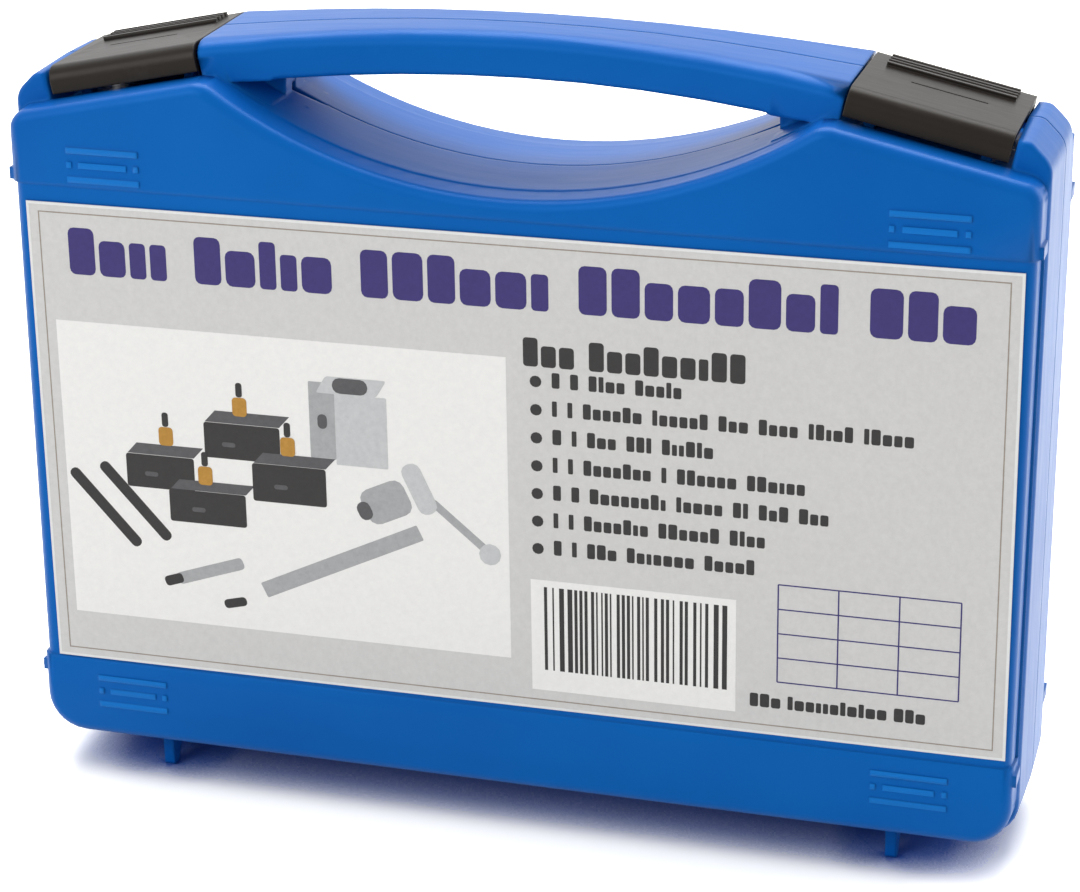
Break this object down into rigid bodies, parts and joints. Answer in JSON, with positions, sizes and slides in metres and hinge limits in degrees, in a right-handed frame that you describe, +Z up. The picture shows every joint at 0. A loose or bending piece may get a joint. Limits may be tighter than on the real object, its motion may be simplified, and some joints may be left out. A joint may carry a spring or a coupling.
{
  "type": "moulded plastic tool carrying case",
  "caption": "Upright moulded carrying case with an integral grip, a bottom-hinged lid, flip latches over the sloping shoulders and a printed face label.",
  "frame": {"origin": "centre of the footprint on the standing surface, in the plane where the two shells part", "axes": "+X across the case's width, +Y from the labelled lid into the case's depth, +Z up towards the grip"},
  "size_m": [0.2284, 0.0524, 0.18],
  "materials": {
    "case_plastic": "satin moulded blue polypropylene with a fine grain",
    "latch_plastic": "satin moulded charcoal plastic",
    "pin_steel": "drawn steel wire",
    "label_paper": "satin silver-grey printed label"
  },
  "bodies": {
    "base": {"base_shell": "case_plastic", "hinge_pin_left": "pin_steel", "hinge_pin_right": "pin_steel"},
    "lid": {"lid_shell": "case_plastic", "label": "label_paper", "latch_pin_left": "pin_steel", "latch_pin_right": "pin_steel"},
    "latch_l": {"latch_left": "latch_plastic"},
    "latch_r": {"latch_right": "latch_plastic"}
  },
  "joints": [
    {"name": "lid_hinge", "type": "hinge", "parent": "base", "child": "lid", "pos_m": [0, 0, 0.0043], "axis": [1, 0, 0], "range_deg": [0, 180]},
    {"name": "latch_left_hinge", "type": "hinge", "parent": "lid", "child": "latch_l", "pos_m": [-0.08821, -0.0148, 0.16775], "axis": [0.9774, 0, 0.2113], "range_deg": [0, 95]},
    {"name": "latch_right_hinge", "type": "hinge", "parent": "lid", "child": "latch_r", "pos_m": [0.08821, -0.0148, 0.16775], "axis": [0.9774, 0, -0.2113], "range_deg": [0, 95]}
  ]
}
